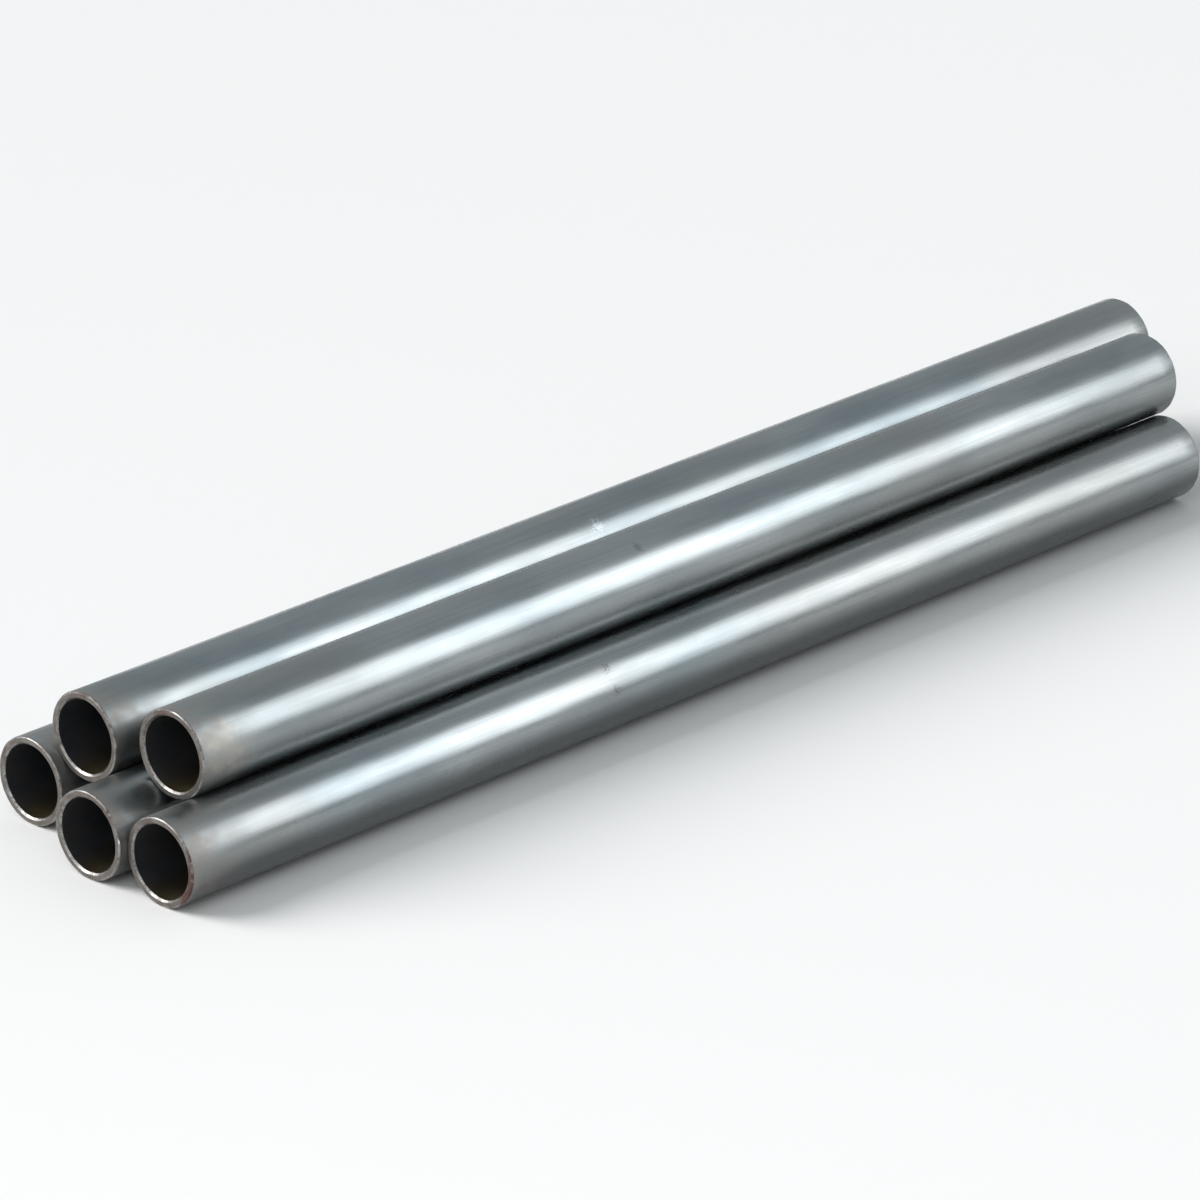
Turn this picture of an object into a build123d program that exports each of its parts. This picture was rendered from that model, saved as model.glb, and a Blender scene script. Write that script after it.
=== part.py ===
"""A stack of five short steel tubes, as they lie on a level floor.

Three tubes lie side by side on the floor and two lie in the hollows between them.
All are cut from one size of round tube, 48.3 mm outside with a 4 mm wall.
Each is cut a little longer or shorter than its neighbour, and none is flush with the next.

Millimetres. +X runs along the tubes from their near ends to their far ends, +Z is up.
Left is +Y and right is -Y, as seen from the near ends. The origin is on the floor, below
the middle of the stack.
"""
import os
from math import sqrt

from build123d import *

# Driving sizes of the tube itself
outside_diameter = 48.3
wall = 4.0
outer_edge_radius = 1.0
bore_chamfer = 1.0

# How close two tubes lie where they touch, and how far the left one has rolled away
contact_gap = 0.2
left_tube_gap = 20.0

# How far the near end of each tube stands back from the end of the middle one
set_back = {
    "bottom_tube_left": 22.5,
    "bottom_tube_middle": 0.0,
    "bottom_tube_right": 5.0,
    "top_tube_left": 29.0,
    "top_tube_right": 35.5,
}

# What each tube measures from one cut end to the other
cut_length = {
    "bottom_tube_left": 785.0,
    "bottom_tube_middle": 785.0,
    "bottom_tube_right": 783.0,
    "top_tube_left": 811.0,
    "top_tube_right": 758.0,
}

outer_radius = outside_diameter / 2
bore_radius = outer_radius - wall
touching = outside_diameter + contact_gap


def hollow_between(first, second):
    """Centre of a tube that lies in the hollow between two tubes on the floor."""
    half_spacing = abs(first[0] - second[0]) / 2
    rise = sqrt(touching**2 - half_spacing**2)
    return ((first[0] + second[0]) / 2, first[1] + rise)


# Centres of the five tubes across the stack, as (y, z) from the middle tube's floor line
centre = {
    "bottom_tube_left": (outside_diameter + left_tube_gap, outer_radius),
    "bottom_tube_middle": (0.0, outer_radius),
    "bottom_tube_right": (-touching, outer_radius),
}
centre["top_tube_left"] = hollow_between(centre["bottom_tube_left"], centre["bottom_tube_middle"])
centre["top_tube_right"] = hollow_between(centre["bottom_tube_middle"], centre["bottom_tube_right"])

# The origin lies half way along and half way across the whole stack
near_end = min(set_back.values())
far_end = max(set_back[name] + cut_length[name] for name in set_back)
middle_x = (near_end + far_end) / 2
middle_y = (centre["bottom_tube_left"][0] + centre["bottom_tube_right"][0]) / 2


def cut_tube(name):
    """One length of tube, turned from the profile of its wall about its own axis."""
    length = cut_length[name]
    axis_y, axis_z = centre[name]
    near_point = (set_back[name] - middle_x, axis_y - middle_y, axis_z)
    along_the_tube = Plane(origin=near_point, x_dir=(1, 0, 0), z_dir=(0, -1, 0))

    with BuildPart() as tube:
        with BuildSketch(along_the_tube) as wall_profile:
            with Locations((length / 2, bore_radius + wall / 2)):
                Rectangle(length, wall)
            bore_corners, outer_corners = wall_profile.vertices().group_by(Axis.Y)
            fillet(outer_corners, radius=outer_edge_radius)
            chamfer(bore_corners, length=bore_chamfer)
        revolve(axis=Axis(near_point, (1, 0, 0)))
    tube.part.label = name
    return tube.part


os.makedirs("parts", exist_ok=True)
for tube_name in cut_length:
    export_step(cut_tube(tube_name), f"parts/{tube_name}.step")
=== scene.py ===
# %% [markdown]
# # A stack of five cut steel tubes
#
# Five short lengths of round zinc-coated tube lie on a pale floor. Three are on the floor and two
# have settled into the hollows between them. The tubes are plain, so everything that makes the
# picture believable is in three things: the true round shape with its worked ends, a metal finish
# that mirrors its surroundings softly, and surroundings that are worth mirroring.
#
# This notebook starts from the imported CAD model, dresses each tube with a smooth mesh and a
# layered metal finish, and lights the stack the way a product studio would.

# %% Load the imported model
from math import pi, radians

import bpy
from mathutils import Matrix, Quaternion, Vector


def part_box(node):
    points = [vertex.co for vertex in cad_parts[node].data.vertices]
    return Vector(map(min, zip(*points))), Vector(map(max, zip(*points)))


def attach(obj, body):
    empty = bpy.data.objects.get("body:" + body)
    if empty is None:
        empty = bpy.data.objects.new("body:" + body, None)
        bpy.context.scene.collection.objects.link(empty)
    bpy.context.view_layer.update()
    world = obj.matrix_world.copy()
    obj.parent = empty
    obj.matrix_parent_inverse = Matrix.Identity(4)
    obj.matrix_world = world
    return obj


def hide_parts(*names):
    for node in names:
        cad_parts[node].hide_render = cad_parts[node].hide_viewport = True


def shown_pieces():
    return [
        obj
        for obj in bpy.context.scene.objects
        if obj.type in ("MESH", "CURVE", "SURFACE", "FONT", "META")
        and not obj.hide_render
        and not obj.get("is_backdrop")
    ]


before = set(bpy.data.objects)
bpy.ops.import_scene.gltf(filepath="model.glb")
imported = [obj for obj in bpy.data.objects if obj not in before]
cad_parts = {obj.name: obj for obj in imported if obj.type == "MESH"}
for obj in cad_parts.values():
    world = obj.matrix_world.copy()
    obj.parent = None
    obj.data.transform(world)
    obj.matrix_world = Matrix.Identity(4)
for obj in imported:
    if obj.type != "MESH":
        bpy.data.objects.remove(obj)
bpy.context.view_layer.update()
print("CAD nodes:", sorted(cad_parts))

# %% [markdown]
# ## Measures
#
# All five tubes are one size: 48.3 mm outside with a 4 mm wall, which is a stock tube for rails and
# scaffolds. A saw leaves a sharp edge, so the outer edge is filed round and the bore is reamed to
# a small slope. Blender works in metres, so the sizes are written in millimetres and turned into
# metres once.

# %% Tube sizes
mm = 0.001
outer_radius = 48.3 / 2 * mm
wall = 4.0 * mm
bore_radius = outer_radius - wall
filed_edge = 1.0 * mm
reamed_edge = 1.0 * mm

tube_names = [
    "bottom_tube_left",
    "bottom_tube_middle",
    "bottom_tube_right",
    "top_tube_left",
    "top_tube_right",
]
print("bore", round(2 * bore_radius / mm, 1), "mm,", len(tube_names), "tubes")

# %% [markdown]
# ## Two helpers for node trees
#
# Both the shapes and the finishes are built from nodes. One helper puts a node in a tree and feeds
# its sockets, and the other does a sum. A value can be a plain number or the output of another node.

# %% Node helpers
def put(tree, kind, inputs=(), **settings):
    """Adds a node, sets its options and feeds its inputs, which go by name or number."""
    node = tree.nodes.new(kind)
    for name, value in settings.items():
        setattr(node, name, value)
    for socket, value in dict(inputs).items():
        if isinstance(value, bpy.types.NodeSocket):
            tree.links.new(value, node.inputs[socket])
        else:
            node.inputs[socket].default_value = value
    return node


def reckon(tree, operation, *values):
    """The output of one Math node."""
    return put(tree, "ShaderNodeMath", enumerate(values), operation=operation).outputs[0]


print("node helpers: put, reckon")

# %% [markdown]
# ## Helpers for a metal finish
#
# A picture of metal could be wrapped on, but noise in the tube's own coordinates has no seam
# and stays sharp at any distance. Object coordinates are used, so every tube gets its own patches.
# Drawn tube is streaky along its length, so most noise is stretched that way: a stretch of 0.3
# along X makes a patch about three times as long as it is wide.

# %% Texture helpers
def object_place(tree, stretch=(1, 1, 1)):
    place = put(tree, "ShaderNodeTexCoord").outputs["Object"]
    return put(tree, "ShaderNodeMapping", {"Vector": place, "Scale": stretch}).outputs[0]


def clouds(tree, size, stretch=(1, 1, 1), detail=2.0):
    """Soft noise about 0.5, with patches of the given size in metres."""
    texture = put(
        tree,
        "ShaderNodeTexNoise",
        {"Vector": object_place(tree, stretch), "Scale": 1 / size, "Detail": detail},
    )
    return texture.outputs["Fac"]


def spread(tree, value, low, high, to_low=0.0, to_high=1.0):
    """Stretches low..high to to_low..to_high, and holds the ends."""
    inputs = {"Value": value, "From Min": low, "From Max": high, "To Min": to_low, "To Max": to_high}
    return put(tree, "ShaderNodeMapRange", inputs).outputs[0]


def tint(tree, amount, first, second):
    """Mixes two colours, from the first at 0 to the second at 1."""
    mix = put(tree, "ShaderNodeMix", {"Factor": amount}, data_type="RGBA")
    for socket, colour in (("A_Color", first), ("B_Color", second)):
        target = next(s for s in mix.inputs if s.identifier == socket)
        if isinstance(colour, bpy.types.NodeSocket):
            tree.links.new(colour, target)
        else:
            target.default_value = (*colour, 1.0)
    return next(s for s in mix.outputs if s.identifier == "Result_Color")


print("texture helpers: object_place, clouds, spread, tint")

# %% Metal helpers
def new_metal(name):
    material = bpy.data.materials.new(name)
    material.use_nodes = True
    shader = material.node_tree.nodes["Principled BSDF"]
    shader.inputs["Metallic"].default_value = 1.0
    return material, material.node_tree, shader


def finish_metal(tree, shader, colour, roughness, heights):
    """Joins colour, roughness and a list of (height, depth in metres) bumps to the shader."""
    tree.links.new(colour, shader.inputs["Base Color"])
    tree.links.new(roughness, shader.inputs["Roughness"])
    normal = None
    for height, depth in heights:
        bump = put(tree, "ShaderNodeBump", {"Height": height, "Distance": depth, "Strength": 1.0})
        if normal:
            tree.links.new(normal, bump.inputs["Normal"])
        normal = bump.outputs[0]
    tree.links.new(normal, shader.inputs["Normal"])


print("metal helpers: new_metal, finish_metal")

# %% [markdown]
# ## The finish of the outside: zinc
#
# The tube is dipped or plated with zinc. It is a metal, so it has no colour of its own beyond a
# faint blue, and what the eye sees is a soft mirror image of the room. Three things break up the
# mirror: cloudy streaks several centimetres long where the zinc set differently, fine lines along
# the tube from the rolls that drew it through, and a slight unevenness that makes the edge
# of each highlight waver.
#
# Two more layers follow. The undersides are painted darker and greyer, which is painted shade standing
# for the dark surroundings they mirror. Near the cut end the zinc is handled and a little brown. The
# shape tree further down stores two numbers for them on every point: its height above the tube's axis
# and its distance from the near end.

# %% Zinc: cloudy patches
zinc, tree, shader = new_metal("zinc coat")
cool_zinc = (0.285, 0.330, 0.348)
pale_zinc = (0.405, 0.438, 0.448)
warm_zinc = (0.340, 0.338, 0.326)

patches = clouds(tree, 45 * mm, stretch=(0.35, 1, 1), detail=4.0)
colour = tint(tree, spread(tree, patches, 0.36, 0.60), cool_zinc, pale_zinc)
warmer = clouds(tree, 110 * mm, stretch=(0.6, 1, 1))
colour = tint(tree, spread(tree, warmer, 0.45, 0.65, 0.0, 0.6), colour, warm_zinc)
print("zinc patches:", len(tree.nodes), "nodes")

# %% Zinc: painted shade on the underside
# painted shade: the lower part of each tube is darkened by its height below the axis, with a wandering
# edge
painted_underside_shade = (0.165, 0.170, 0.169)
shade_starts = 0.3 * outer_radius
shade_is_full = -0.3 * outer_radius
shade_wander = 3 * mm

height_on_tube = put(tree, "ShaderNodeAttribute", attribute_name="height_on_tube").outputs["Fac"]
shade_edge_wander = clouds(tree, 20 * mm, stretch=(0.3, 1, 1))
shade_edge_wander = spread(tree, shade_edge_wander, 0.3, 0.7, -shade_wander, shade_wander)
underside_shade = reckon(tree, "ADD", height_on_tube, shade_edge_wander)
underside_shade = spread(tree, underside_shade, shade_starts, shade_is_full, 0.0, 0.85)
colour = tint(tree, underside_shade, colour, painted_underside_shade)
# the printed height is where the painted underside shade begins
print("film starts", round(shade_starts / mm, 1), "mm above the axis")

# %% Zinc: roll lines and handled end
roll_line_grey = (0.20, 0.225, 0.24)
handled_brown = (0.31, 0.275, 0.24)
handled_length = 45 * mm

roll_lines = clouds(tree, 1.2 * mm, stretch=(0.02, 1, 1))
colour = tint(tree, spread(tree, roll_lines, 0.3, 0.7, 0.0, 0.28), colour, roll_line_grey)

from_near_end = put(tree, "ShaderNodeAttribute", attribute_name="from_near_end").outputs["Fac"]
closeness = spread(tree, from_near_end, 0.0, handled_length, 1.0, 0.0)
smudges = spread(tree, clouds(tree, 9 * mm, detail=3.0), 0.3, 0.6)
handled = reckon(tree, "MULTIPLY", closeness, smudges)
colour = tint(tree, spread(tree, handled, 0.1, 0.8, 0.0, 0.5), colour, handled_brown)
print("handled for", round(handled_length / mm), "mm from the near end")

# %% [markdown]
# ## Single marks
#
# A few marks are single: one cream stain near an end, three dark nicks and one fresh scrape.
# Noise can't be told to put one mark in one place, so each is a spot round a point, given in
# millimetres from the origin. The distance to that point is made ragged with noise, and a soft step
# turns it into an amount, so the mark has no ruled edge.

# %% Helper for a single mark
def spot(tree, place, size, strength=1.0, ragged=0.5, core=0.35):
    """An amount for one mark, which falls raggedly from its strength to 0 at its size.

    Place and size are in millimetres. The fall begins at the core, a share of the size, and a
    core below 0 leaves even the middle faint.
    """
    inputs = {0: object_place(tree), 1: [v * mm for v in place]}
    away = put(tree, "ShaderNodeVectorMath", inputs, operation="DISTANCE").outputs["Value"]
    edge = spread(tree, clouds(tree, size * mm / 3, detail=3.0), 0.3, 0.7, -ragged, ragged)
    reach = reckon(tree, "ADD", reckon(tree, "DIVIDE", away, size * mm), edge)
    inputs = {"Value": reach, "From Min": core, "From Max": 1.0, "To Min": strength, "To Max": 0.0}
    return put(tree, "ShaderNodeMapRange", inputs, interpolation_type="SMOOTHSTEP").outputs[0]


print("mark helper: spot")

# %% Zinc: stain, nicks and scrape
cream = (0.43, 0.395, 0.34)
nick_grey = (0.16, 0.17, 0.18)
fresh_zinc = (0.60, 0.64, 0.66)
stain_place = (-369, -57.5, 72)
nick_places = ((-57.6, -45.0, 87.7), (-109.9, -73.9, 42.7), (-108.8, -81.2, 32.0))
scrape_place = (-33.1, 8.9, 77.3)

stain = spot(tree, stain_place, size=22, strength=0.6, ragged=0.45, core=-0.3)
colour = tint(tree, stain, colour, cream)
for place in nick_places:
    nick = spot(tree, place, size=3.0, strength=0.6, ragged=0.9)
    colour = tint(tree, nick, colour, nick_grey)
scrape = spot(tree, scrape_place, size=4.0, strength=0.6, ragged=1.0)
colour = tint(tree, scrape, colour, fresh_zinc)
print("dark nicks:", len(nick_places))

# %% [markdown]
# ## Gloss
#
# The gloss isn't the same everywhere either. The roughness varies a little in short streaks, and
# it rises towards the near end, where hands have dulled the zinc. Two shallow bumps, a long one
# and a finer ripple, bend the mirror image, so that no highlight has a ruled border.

# %% Zinc: gloss and unevenness
dulled_by_handling = 0.12
dulled_near_end = 0.17

fine_patches = clouds(tree, 8 * mm, stretch=(0.25, 1, 1))
roughness = spread(tree, fine_patches, 0.3, 0.7, 0.25, 0.315)
roughness = reckon(tree, "MULTIPLY_ADD", handled, dulled_by_handling, roughness)
roughness = reckon(tree, "MULTIPLY_ADD", closeness, dulled_near_end, roughness)

unevenness = clouds(tree, 28 * mm, stretch=(0.32, 1, 1), detail=1.0)
ripple = clouds(tree, 12 * mm, stretch=(0.2, 1, 1), detail=0.0)
finish_metal(tree, shader, colour, roughness, [(unevenness, 0.6 * mm), (ripple, 0.10 * mm)])
print("zinc:", len(tree.nodes), "nodes")

# %% [markdown]
# ## The worked ends: filed edge, sawn face and bore
#
# Where the saw and file have cut through the zinc the steel is bare. The saw leaves fine parallel
# lines over the flat face, which has since gone brown-grey. The filed edge and the reamed slope
# were cut last and are the brightest metal on the tube. The bore was never polished:
# it holds dark mill scale and a little rust, and very little light reaches it.
#
# Rust has started at a few places on the rims. It isn't a metal, so it is rougher than the steel
# and takes the metallic value down where it lies.

# %% Rust on the cut ends
rust_brown = (0.070, 0.034, 0.028)
dulled_by_rust = 0.4
rust_spots = (
    # place and size in millimetres, strength
    ((-415, -80, 24), 14, 0.95),
    ((-414, -77, 13), 9, 0.95),
    ((-392, 26, 82), 9, 0.6),
    ((-384, -27, 89), 8, 0.6),
    ((-416, -24, 42), 6, 0.7),
)


def rust_over(tree, shader, colour, roughness):
    bare = 1.0
    for place, size, strength in rust_spots:
        amount = spot(tree, place, size, strength, ragged=0.6)
        colour = tint(tree, amount, colour, rust_brown)
        roughness = reckon(tree, "MULTIPLY_ADD", amount, dulled_by_rust, roughness)
        bare = reckon(tree, "MULTIPLY", bare, reckon(tree, "SUBTRACT", 1.0, amount))
    tree.links.new(bare, shader.inputs["Metallic"])
    return colour, roughness


print("rust spots:", len(rust_spots))

# %% Bare steel of the filed and reamed edges
clean_steel = (0.36, 0.355, 0.345)
grimy_steel = (0.18, 0.16, 0.145)
pit_black = (0.07, 0.06, 0.055)
burr_white = (0.85, 0.86, 0.87)
burr_place = (-420, -33.0, 28.6)
burr_reach = 1.6

bright_steel, tree, shader = new_metal("filed steel")
grime = clouds(tree, 5 * mm, detail=3.0)
colour = tint(tree, spread(tree, grime, 0.35, 0.7), clean_steel, grimy_steel)
pits = clouds(tree, 1.1 * mm)
colour = tint(tree, spread(tree, pits, 0.56, 0.66, 0.0, 0.8), colour, pit_black)
colour = tint(tree, spot(tree, burr_place, burr_reach, ragged=0.2), colour, burr_white)
roughness = spread(tree, grime, 0.3, 0.7, 0.34, 0.48)
colour, roughness = rust_over(tree, shader, colour, roughness)
file_marks = clouds(tree, 0.5 * mm, detail=1.0)
finish_metal(tree, shader, colour, roughness, [(file_marks, 0.02 * mm)])
print("filed steel:", len(tree.nodes), "nodes")

# %% Sawn face
sawn_grey = (0.25, 0.235, 0.218)
sawn_brown = (0.17, 0.142, 0.120)
saw_line_brown = (0.15, 0.13, 0.12)

sawn_steel, tree, shader = new_metal("sawn steel")
oxide = clouds(tree, 7 * mm, detail=4.0)
colour = tint(tree, spread(tree, oxide, 0.35, 0.65), sawn_grey, sawn_brown)
saw_lines = clouds(tree, 0.6 * mm, stretch=(1, 1, 0.04), detail=1.0)
colour = tint(tree, spread(tree, saw_lines, 0.4, 0.6, 0.0, 0.25), colour, saw_line_brown)
roughness = spread(tree, oxide, 0.3, 0.7, 0.42, 0.60)
colour, roughness = rust_over(tree, shader, colour, roughness)
finish_metal(tree, shader, colour, roughness, [(saw_lines, 0.03 * mm)])
print("sawn steel:", len(tree.nodes), "nodes")

# %% Dark bore
scale_blue = (0.120, 0.128, 0.148)
scale_rust = (0.100, 0.078, 0.050)
settled_dust = (0.095, 0.072, 0.028)

mill_scale, tree, shader = new_metal("bore mill scale")
shader.inputs["Metallic"].default_value = 0.85
rust = clouds(tree, 14 * mm, detail=4.0)
colour = tint(tree, spread(tree, rust, 0.3, 0.7, 0.0, 0.5), scale_blue, scale_rust)
height_in_bore = put(tree, "ShaderNodeAttribute", attribute_name="height_on_tube").outputs["Fac"]
settled = spread(tree, height_in_bore, -0.75 * bore_radius, -bore_radius, 0.0, 0.85)
colour = tint(tree, settled, colour, settled_dust)
roughness = spread(tree, rust, 0.3, 0.7, 0.38, 0.55)
grain = clouds(tree, 1.5 * mm, detail=3.0)
finish_metal(tree, shader, colour, roughness, [(grain, 0.06 * mm)])
print("finishes:", [m.name for m in bpy.data.materials])

# %% [markdown]
# ## One tree for every cut tube
#
# A tube could be a cylinder primitive with a hole, but its ends would then have dead sharp
# edges. It is better made the way a lathe hand thinks: draw the section of the wall once, round its
# two outer corners, slope its two inner corners, and turn that section about the axis. In
# Geometry Nodes the turning is Curve to Mesh along a circle, which closes on itself with no seam.
#
# The tree also stores the two numbers that the finishes read, and gives every face the finish of
# its zone. A little seeded noise lets the long surface waver by a few hundredths of a millimetre
# and makes the hand-worked edges less than perfect. Two inputs place a burr, a tiny tooth that the
# file missed, and its height is 0 on a tube that has none.

# %% Shape tree: inputs
shape = bpy.data.node_groups.new("cut tube", "GeometryNodeTree")
shape.interface.new_socket("Geometry", in_out="OUTPUT", socket_type="NodeSocketGeometry")
sockets = {}
for name, kind in (
    ("Length", "NodeSocketFloat"),
    ("Outer radius", "NodeSocketFloat"),
    ("Wall", "NodeSocketFloat"),
    ("Filed edge", "NodeSocketFloat"),
    ("Reamed edge", "NodeSocketFloat"),
    ("Centre", "NodeSocketVector"),
    ("Steps round", "NodeSocketInt"),
    ("Cuts along", "NodeSocketInt"),
    ("Seed", "NodeSocketFloat"),
    ("Burr place", "NodeSocketVector"),
    ("Burr height", "NodeSocketFloat"),
):
    socket = shape.interface.new_socket(name, in_out="INPUT", socket_type=kind)
    sockets[name] = socket.identifier
given = put(shape, "NodeGroupInput").outputs
print("inputs:", list(sockets))


# %% Shape tree: the wall's section
def split(tree, vector):
    return put(tree, "ShaderNodeSeparateXYZ", {0: vector}).outputs


slope_steps = 1.0
extra_round_steps = 4.0

half_wall = reckon(shape, "MULTIPLY", given["Wall"], 0.5)
half_length = reckon(shape, "MULTIPLY", given["Length"], 0.5)
section = put(
    shape,
    "GeometryNodeCurvePrimitiveQuadrilateral",
    {"Width": given["Wall"], "Height": given["Length"]},
).outputs[0]

across = split(shape, put(shape, "GeometryNodeInputPosition").outputs[0])
is_outer = reckon(shape, "GREATER_THAN", across["X"], 0.0)
corner_size = put(
    shape,
    "ShaderNodeMix",
    {"Factor": is_outer, "A": given["Reamed edge"], "B": given["Filed edge"]},
).outputs[0]
corner_steps = reckon(shape, "MULTIPLY_ADD", is_outer, extra_round_steps, slope_steps)
section = put(
    shape,
    "GeometryNodeFilletCurve",
    {"Curve": section, "Radius": corner_size, "Count": corner_steps},
    mode="POLY",
).outputs[0]
print("section tree:", len(shape.nodes), "nodes")

# %% Shape tree: divide the two long sides
# Subdivide Curve cuts the stretch that follows a point, and each of the two long sides follows
# a point whose X and Y differ in sign
hair = 0.01 * mm
nearly_half_wall = reckon(shape, "SUBTRACT", half_wall, hair)
on_long_side = reckon(shape, "GREATER_THAN", reckon(shape, "ABSOLUTE", across["X"]), nearly_half_wall)
runs_along = reckon(shape, "LESS_THAN", reckon(shape, "MULTIPLY", across["X"], across["Y"]), 0.0)
cuts = reckon(shape, "MULTIPLY", on_long_side, runs_along)
cuts = reckon(shape, "MULTIPLY", cuts, given["Cuts along"])
section = put(shape, "GeometryNodeSubdivideCurve", {"Curve": section, "Cuts": cuts}).outputs[0]
print("divided section:", len(shape.nodes), "nodes")

# %% Shape tree: turn the section about the axis
middle_radius = reckon(shape, "SUBTRACT", given["Outer radius"], half_wall)
path = put(
    shape,
    "GeometryNodeCurvePrimitiveCircle",
    {"Resolution": given["Steps round"], "Radius": middle_radius},
).outputs[0]
turned = put(shape, "GeometryNodeCurveToMesh", {"Curve": path, "Profile Curve": section}).outputs[0]
tube = put(
    shape,
    "GeometryNodeTransform",
    {"Geometry": turned, "Rotation": (0.0, radians(90), 0.0)},
).outputs[0]
print("turned tube:", len(shape.nodes), "nodes")

# %% Shape tree: where a point is on the tube
at = split(shape, put(shape, "GeometryNodeInputPosition").outputs[0])
radial = put(shape, "ShaderNodeCombineXYZ", {"Y": at["Y"], "Z": at["Z"]}).outputs[0]
distance_out = put(shape, "ShaderNodeVectorMath", {0: radial}, operation="LENGTH").outputs["Value"]
outward = put(shape, "ShaderNodeVectorMath", {0: radial}, operation="NORMALIZE").outputs["Vector"]
to_an_end = reckon(shape, "SUBTRACT", half_length, reckon(shape, "ABSOLUTE", at["X"]))

stored = {
    "from_near_end": reckon(shape, "ADD", half_length, at["X"]),
    "height_on_tube": at["Z"],
}
for name, value in stored.items():
    inputs = {"Geometry": tube, "Name": name, "Value": value}
    tube = put(shape, "GeometryNodeStoreNamedAttribute", inputs, data_type="FLOAT").outputs[0]
print("stored for the finishes:", list(stored))


# %% Shape tree: give every zone its finish
def zone(geometry, material, inside):
    inputs = {"Geometry": geometry, "Material": material, "Selection": inside}
    return put(shape, "GeometryNodeSetMaterial", inputs).outputs[0]


bore_wall = reckon(shape, "SUBTRACT", given["Outer radius"], given["Wall"])
in_bore = reckon(shape, "LESS_THAN", distance_out, reckon(shape, "ADD", bore_wall, hair))
on_worked_end = reckon(shape, "LESS_THAN", to_an_end, given["Filed edge"])
on_face = reckon(shape, "LESS_THAN", to_an_end, hair)

tube = put(shape, "GeometryNodeRealizeInstances", {"Geometry": tube}).outputs[0]
tube = put(shape, "GeometryNodeSetMaterial", {"Geometry": tube, "Material": zinc}).outputs[0]
tube = zone(tube, bright_steel, on_worked_end)
tube = zone(tube, sawn_steel, on_face)
tube = zone(tube, mill_scale, in_bore)
print("zones: outside, worked end, face, bore")

# %% Shape tree: wavering
seed_shift = put(shape, "ShaderNodeCombineXYZ", {"X": given["Seed"], "Y": given["Seed"]}).outputs[0]
shifted = put(
    shape,
    "ShaderNodeVectorMath",
    {0: put(shape, "GeometryNodeInputPosition").outputs[0], 1: seed_shift},
    operation="ADD",
).outputs[0]


def waver(size, amount):
    noise = put(shape, "ShaderNodeTexNoise", {"Vector": shifted, "Scale": 1 / size, "Detail": 1.0})
    return reckon(shape, "MULTIPLY", reckon(shape, "SUBTRACT", noise.outputs["Fac"], 0.5), amount)


reamed_depth = reckon(shape, "ADD", given["Reamed edge"], hair)
hand_worked = reckon(shape, "LESS_THAN", to_an_end, reamed_depth)
long_waver = waver(size=90 * mm, amount=0.12 * mm)
edge_waver = reckon(shape, "MULTIPLY", waver(size=6 * mm, amount=0.5 * mm), hand_worked)
amount = reckon(shape, "ADD", long_waver, edge_waver)
print("wavering tree:", len(shape.nodes), "nodes")

# %% Shape tree: burr, creases and place
to_burr = put(
    shape,
    "ShaderNodeVectorMath",
    {0: put(shape, "GeometryNodeInputPosition").outputs[0], 1: given["Burr place"]},
    operation="DISTANCE",
).outputs["Value"]
burr = spread(shape, to_burr, 0.0, burr_reach * mm, given["Burr height"], 0.0)
amount = reckon(shape, "ADD", amount, burr)
push = put(shape, "ShaderNodeVectorMath", {0: outward, "Scale": amount}, operation="SCALE").outputs[0]
tube = put(shape, "GeometryNodeSetPosition", {"Geometry": tube, "Offset": push}).outputs[0]

crease_angle = radians(30)
edge_turn = put(shape, "GeometryNodeInputMeshEdgeAngle").outputs["Unsigned Angle"]
is_crease = reckon(shape, "GREATER_THAN", edge_turn, crease_angle)
tube = put(
    shape,
    "GeometryNodeSetShadeSmooth",
    {"Geometry": tube, "Selection": is_crease, "Shade Smooth": False},
    domain="EDGE",
).outputs[0]
tube = put(shape, "GeometryNodeTransform", {"Geometry": tube, "Translation": given["Centre"]}).outputs[0]
put(shape, "NodeGroupOutput", {0: tube})
print("shape tree:", len(shape.nodes), "nodes")

# %% [markdown]
# ## The five tubes
#
# Each tube's length and place are read from the CAD node that it replaces, so the smooth mesh lands
# exactly on the solid that the physics uses. The tree is evaluated once, its result is kept
# as a plain mesh, and the modifier goes away. Only the middle tube of the bottom row has the burr.

# %% Make the tubes
steps_round = 192
cuts_along = 79
seed_step = 1.7
burr_heights = {"bottom_tube_middle": 0.7 * mm}


def make_tube(node_name, seed):
    low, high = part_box(node_name)
    centre = (low + high) / 2
    settings = {
        "Length": high.x - low.x,
        "Outer radius": outer_radius,
        "Wall": wall,
        "Filed edge": filed_edge,
        "Reamed edge": reamed_edge,
        "Centre": centre,
        "Steps round": steps_round,
        "Cuts along": cuts_along,
        "Seed": seed,
        "Burr place": Vector(burr_place) * mm - centre,
        "Burr height": burr_heights.get(node_name, 0.0),
    }
    holder = bpy.data.objects.new("holder", bpy.data.meshes.new("holder"))
    bpy.context.scene.collection.objects.link(holder)
    modifier = holder.modifiers.new("shape", "NODES")
    modifier.node_group = shape
    for name, value in settings.items():
        modifier[sockets[name]] = value
    ready = holder.evaluated_get(bpy.context.evaluated_depsgraph_get())
    mesh = bpy.data.meshes.new_from_object(ready)
    bpy.data.objects.remove(holder)

    piece = bpy.data.objects.new(node_name + "_steel", mesh)
    bpy.context.scene.collection.objects.link(piece)
    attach(piece, "root")
    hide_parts(node_name)
    return piece


for number, name in enumerate(tube_names):
    piece = make_tube(name, seed=seed_step * number)
    size = [round(d / mm, 1) for d in piece.dimensions]
    print(piece.name, size, "mm,", len(piece.data.polygons), "faces")

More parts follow.
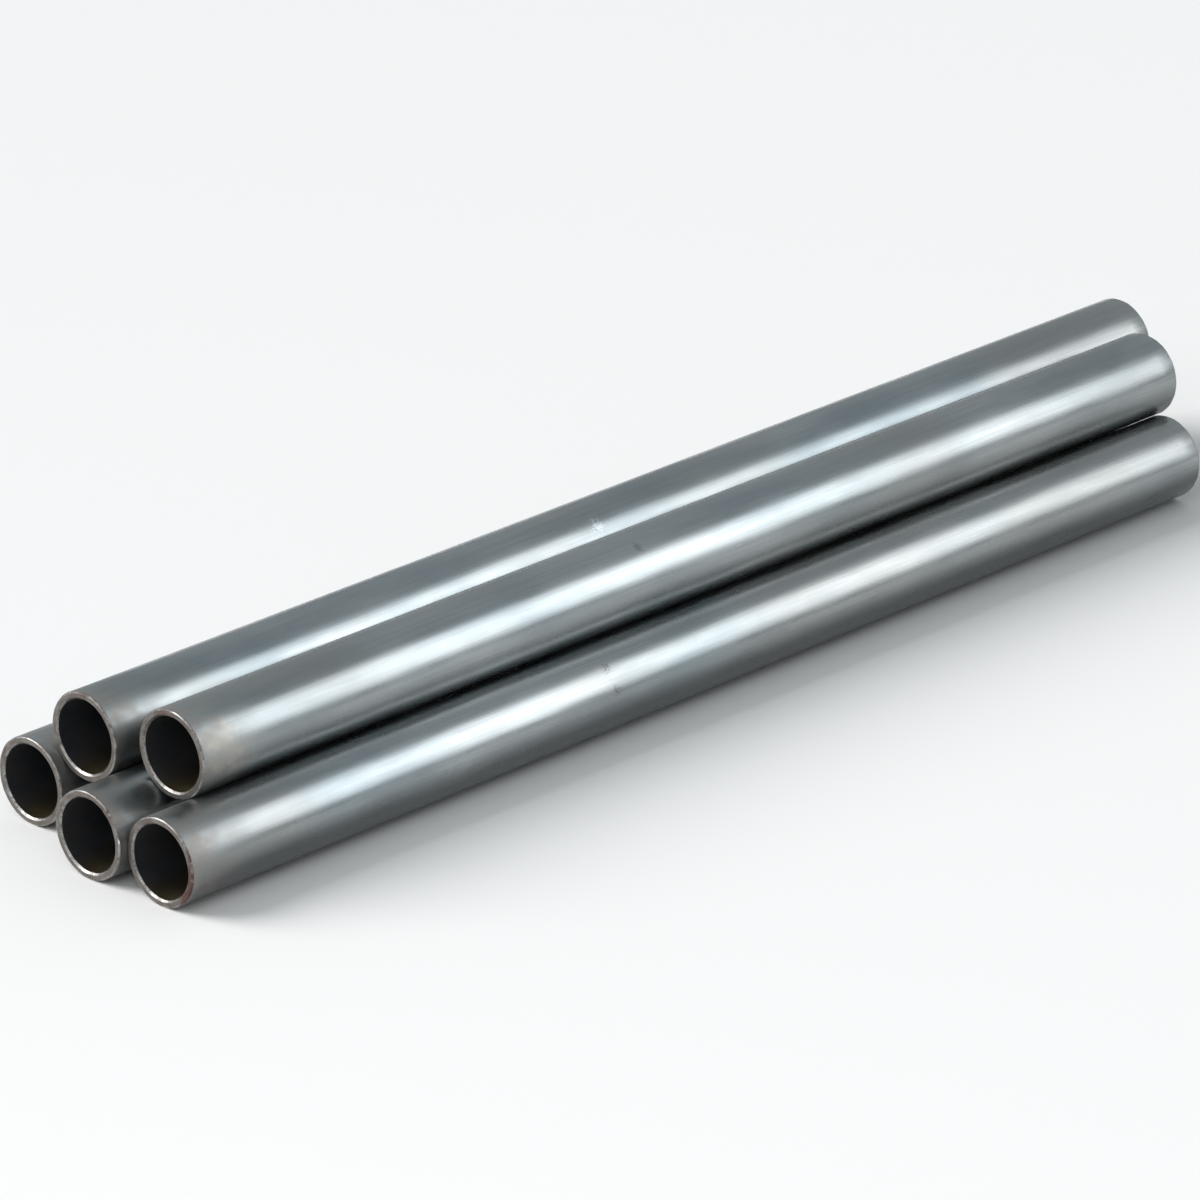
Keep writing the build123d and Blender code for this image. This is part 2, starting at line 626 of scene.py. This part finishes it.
# %% [markdown]
# ## Floor
#
# The stack lies on a pale, matt, seamless floor. It is one large sheet, so its far edge is
# out of sight. Its colour is a near-white, as studio paper has, with a trace of warmth that
# cancels the blue of the room, and it takes the shadow of the stack.

# %% Floor
floor_reach = 12.0
floor_white = (0.88, 0.87, 0.86)

floor_mesh = bpy.data.meshes.new("studio floor")
corners = [(x * floor_reach, y * floor_reach, 0.0) for x, y in ((-1, -1), (1, -1), (1, 1), (-1, 1))]
floor_mesh.from_pydata(corners, [], [(0, 1, 2, 3)])
floor = bpy.data.objects.new("studio_floor", floor_mesh)
bpy.context.scene.collection.objects.link(floor)
paper = bpy.data.materials.new("floor paper")
paper.use_nodes = True
paper_shader = paper.node_tree.nodes["Principled BSDF"]
paper_shader.inputs["Base Color"].default_value = (*floor_white, 1.0)
paper_shader.inputs["Roughness"].default_value = 0.9
paper_shader.inputs["Specular IOR Level"].default_value = 0.1
floor_mesh.materials.append(paper)
floor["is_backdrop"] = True
print("floor:", [round(d) for d in floor.dimensions[:2]], "m")

# %% [markdown]
# ## Light
#
# Round metal shows each lamp as a line along its length, so the lamps are chosen by what
# they draw on the tubes. A large soft box to the right of the camera draws the broad white
# band on the near flank of every tube. Its light fades towards its upper and lower edge, as a
# real one's does, which gives the band soft borders. It is linked to the steel alone, so the
# floor keeps one soft shadow. A smaller box on the left catches the filed and reamed edges.

# %% Helper for a soft box
fade_power = 0.65


def aim(thing, direction):
    thing.rotation_mode = "QUATERNION"
    thing.rotation_quaternion = Vector(direction).to_track_quat("-Z", "Y")


def soft_box(name, centre, facing, wide, high, radiance, fade=False):
    """A rectangular lamp of the given radiance, which can fade to its upper and lower edge."""
    lamp = bpy.data.lights.new(name, "AREA")
    lamp.shape = "RECTANGLE"
    lamp.size = wide
    lamp.size_y = high
    lamp.energy = radiance * pi * wide * high
    if fade:
        lamp.use_nodes = True
        lamp_tree = lamp.node_tree
        sheet = split(lamp_tree, put(lamp_tree, "ShaderNodeNewGeometry").outputs["Parametric"])
        arch = reckon(lamp_tree, "SINE", reckon(lamp_tree, "MULTIPLY", sheet["Y"], pi))
        arch = reckon(lamp_tree, "POWER", arch, fade_power)
        lamp_tree.links.new(arch, lamp_tree.nodes["Emission"].inputs["Strength"])
    box = bpy.data.objects.new(name, lamp)
    bpy.context.scene.collection.objects.link(box)
    box.location = centre
    aim(box, facing)
    box.visible_camera = False
    return box


print("light helpers: aim, soft_box")

# %% Soft boxes
box_right = soft_box(
    "soft box right",
    centre=(1.74, -1.74, 1.41),
    facing=(0.0, 0.777, -0.629),
    wide=2.0,
    high=2.7,
    radiance=2.95,
    fade=True,
)
box_left = soft_box(
    "soft box left",
    centre=(-1.83, -0.88, 1.48),
    facing=(0.73, 0.35, -0.59),
    wide=1.1,
    high=0.9,
    radiance=2.4,
)

steel_only = bpy.data.collections.new("steel only")
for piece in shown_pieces():
    steel_only.objects.link(piece)
box_right.light_linking.receiver_collection = steel_only
for box in (box_right, box_left):
    print(box.name, round(box.data.energy, 1), "W")

# %% [markdown]
# The third light stands for a wall of windows far behind the stack. A soft box there would burn
# out the floor beneath it, so this is a sun lamp, which lights the whole floor alike, with an
# angle of 38 degrees, which makes its shadow as soft as a window's. It throws that shadow
# forwards, where the undersides mirror it and turn dark.

# %% Window wall
window_spread = radians(38)
window_strength = 2.95
from_windows = (0.55, -0.60, -0.58)

window = bpy.data.lights.new("window wall", "SUN")
window.angle = window_spread
window.energy = window_strength
window_wall = bpy.data.objects.new("window wall", window)
bpy.context.scene.collection.objects.link(window_wall)
aim(window_wall, from_windows)

# %% [markdown]
# The room is an even grey-blue that gives the upper flanks their quiet tone. It darkens at the
# horizon, which sets off the lower edge of the white band.

# %% Room
overhead = (0.445, 0.478, 0.495)
horizon = (0.28, 0.295, 0.305)
horizon_top = 0.3

world = bpy.data.worlds.new("studio room")
bpy.context.scene.world = world
world.use_nodes = True
tree = world.node_tree
toward = put(tree, "ShaderNodeTexCoord").outputs["Generated"]
height = split(tree, toward)["Z"]
room = tint(tree, spread(tree, height, 0.0, horizon_top), horizon, overhead)
tree.links.new(room, tree.nodes["Background"].inputs["Color"])
print("room:", len(tree.nodes), "nodes")

# %% [markdown]
# ## Camera
#
# The camera stands about four metres away and a metre and a half up with a long lens, so that the
# tubes nearly keep their width along their length. Its place comes from fitting the five
# near ends and the tubes' side lines. It leans a little, so it is rolled about its own axis after
# it has been aimed.

# %% Camera
camera_place = (-2.6744, -2.51842, 1.61852)
look = (0.663359, 0.633703, -0.397964)
roll = Quaternion((0.0, 0.0, 1.0), radians(1.157))

camera = bpy.data.objects.new("camera", bpy.data.cameras.new("camera"))
bpy.context.scene.collection.objects.link(camera)
bpy.context.scene.camera = camera
camera.location = camera_place
aim(camera, look)
camera.rotation_quaternion = camera.rotation_quaternion @ roll
camera.data.sensor_width = 36.0
camera.data.lens = 220.88
camera.data.clip_end = 100.0
bpy.context.scene.view_settings.view_transform = "Standard"
print("camera is", round(Vector(camera_place).length, 2), "m from the stack's origin")
